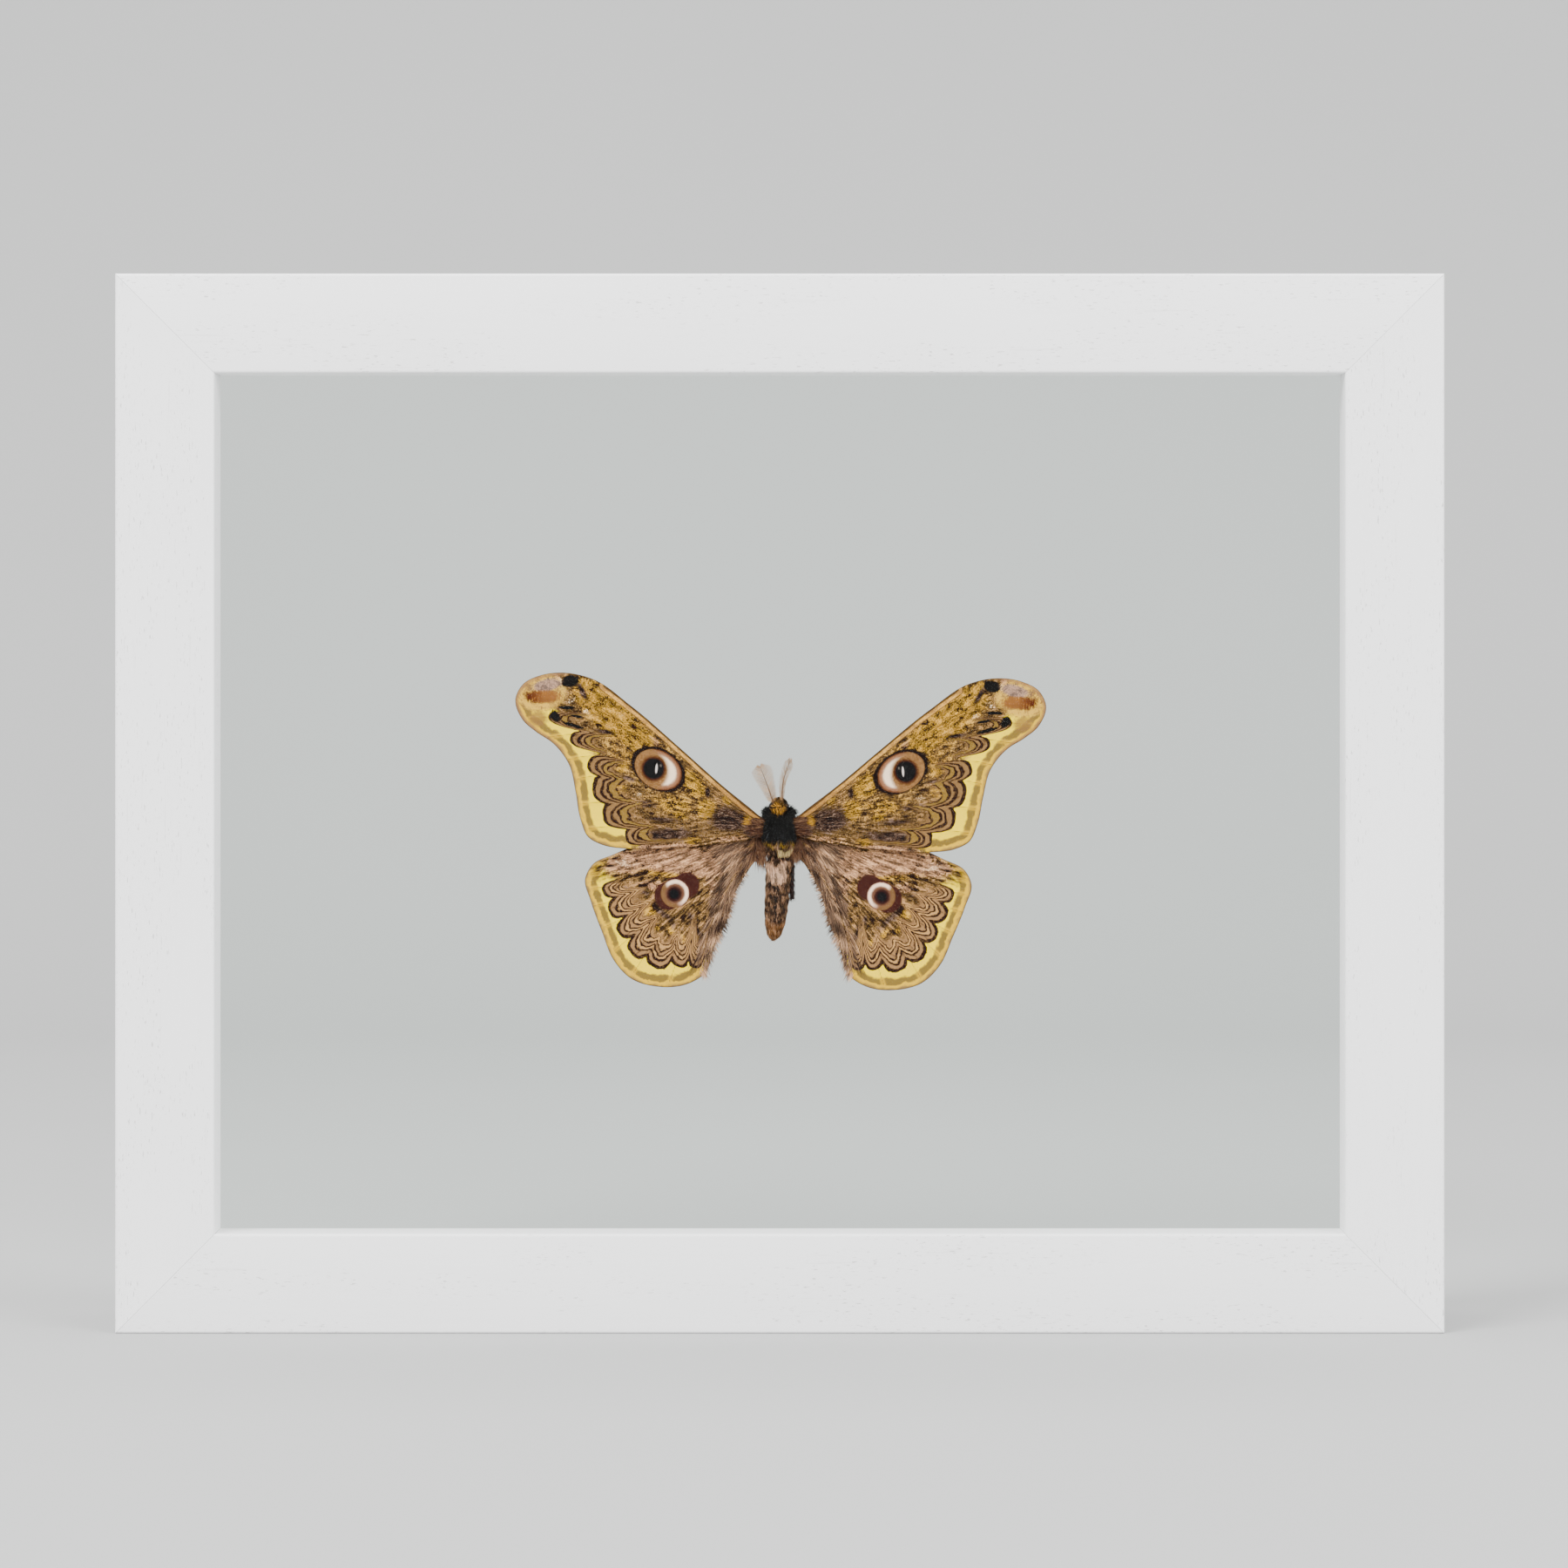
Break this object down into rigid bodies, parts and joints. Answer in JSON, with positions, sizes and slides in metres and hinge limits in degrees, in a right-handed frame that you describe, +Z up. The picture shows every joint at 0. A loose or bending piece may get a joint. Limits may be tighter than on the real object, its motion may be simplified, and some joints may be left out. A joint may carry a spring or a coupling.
{
  "type": "caligula anna moth specimen in a glazed case",
  "caption": "Spread Caligula anna silk moth, dorsal side forward, mounted between two panes of clear glass in a white painted wooden case that stands upright.",
  "frame": {"origin": "middle of the case's outline on the surface it stands on", "axes": "+X to the viewer's right along the case's width, +Y from the viewer into the case's depth, +Z up; the case's front and the moth's back face -Y"},
  "size_m": [0.254, 0.034, 0.2025],
  "materials": {
    "painted_wood": "white paint over wood with fine grain pores",
    "clear_glass": "clear polished",
    "black_fur": "long black fur",
    "golden_fur": "golden brown fur",
    "brown_fur": "brown and cream fur",
    "forewing_scales": "matt scales with dark nested lines, yellow bands and an eyespot",
    "hindwing_scales": "matt scales and long hair with dark nested lines and an eyespot",
    "antenna": "amber feathered horn",
    "eye": "glossy dark compound eye",
    "leg": "short dark maroon fur over horn",
    "adhesive": "clear set adhesive"
  },
  "bodies": {
    "root": {"rail_bottom": "painted_wood", "rail_top": "painted_wood", "rail_left": "painted_wood", "rail_right": "painted_wood", "spacer_bottom": "painted_wood", "spacer_top": "painted_wood", "spacer_left": "painted_wood", "spacer_right": "painted_wood", "bead_bottom": "painted_wood", "bead_top": "painted_wood", "bead_left": "painted_wood", "bead_right": "painted_wood", "glass_front": "clear_glass", "glass_back": "clear_glass", "thorax": "black_fur", "head": "golden_fur", "abdomen": "brown_fur", "eye_left": "eye", "eye_right": "eye", "antenna_left": "antenna", "antenna_right": "antenna", "forewing_left": "forewing_scales", "forewing_right": "forewing_scales", "hindwing_left": "hindwing_scales", "hindwing_right": "hindwing_scales", "leg_fore_left": "leg", "leg_mid_left": "leg", "leg_hind_left": "leg", "leg_fore_right": "leg", "leg_mid_right": "leg", "leg_hind_right": "leg", "adhesive_dab": "adhesive"}
  },
  "joints": []
}
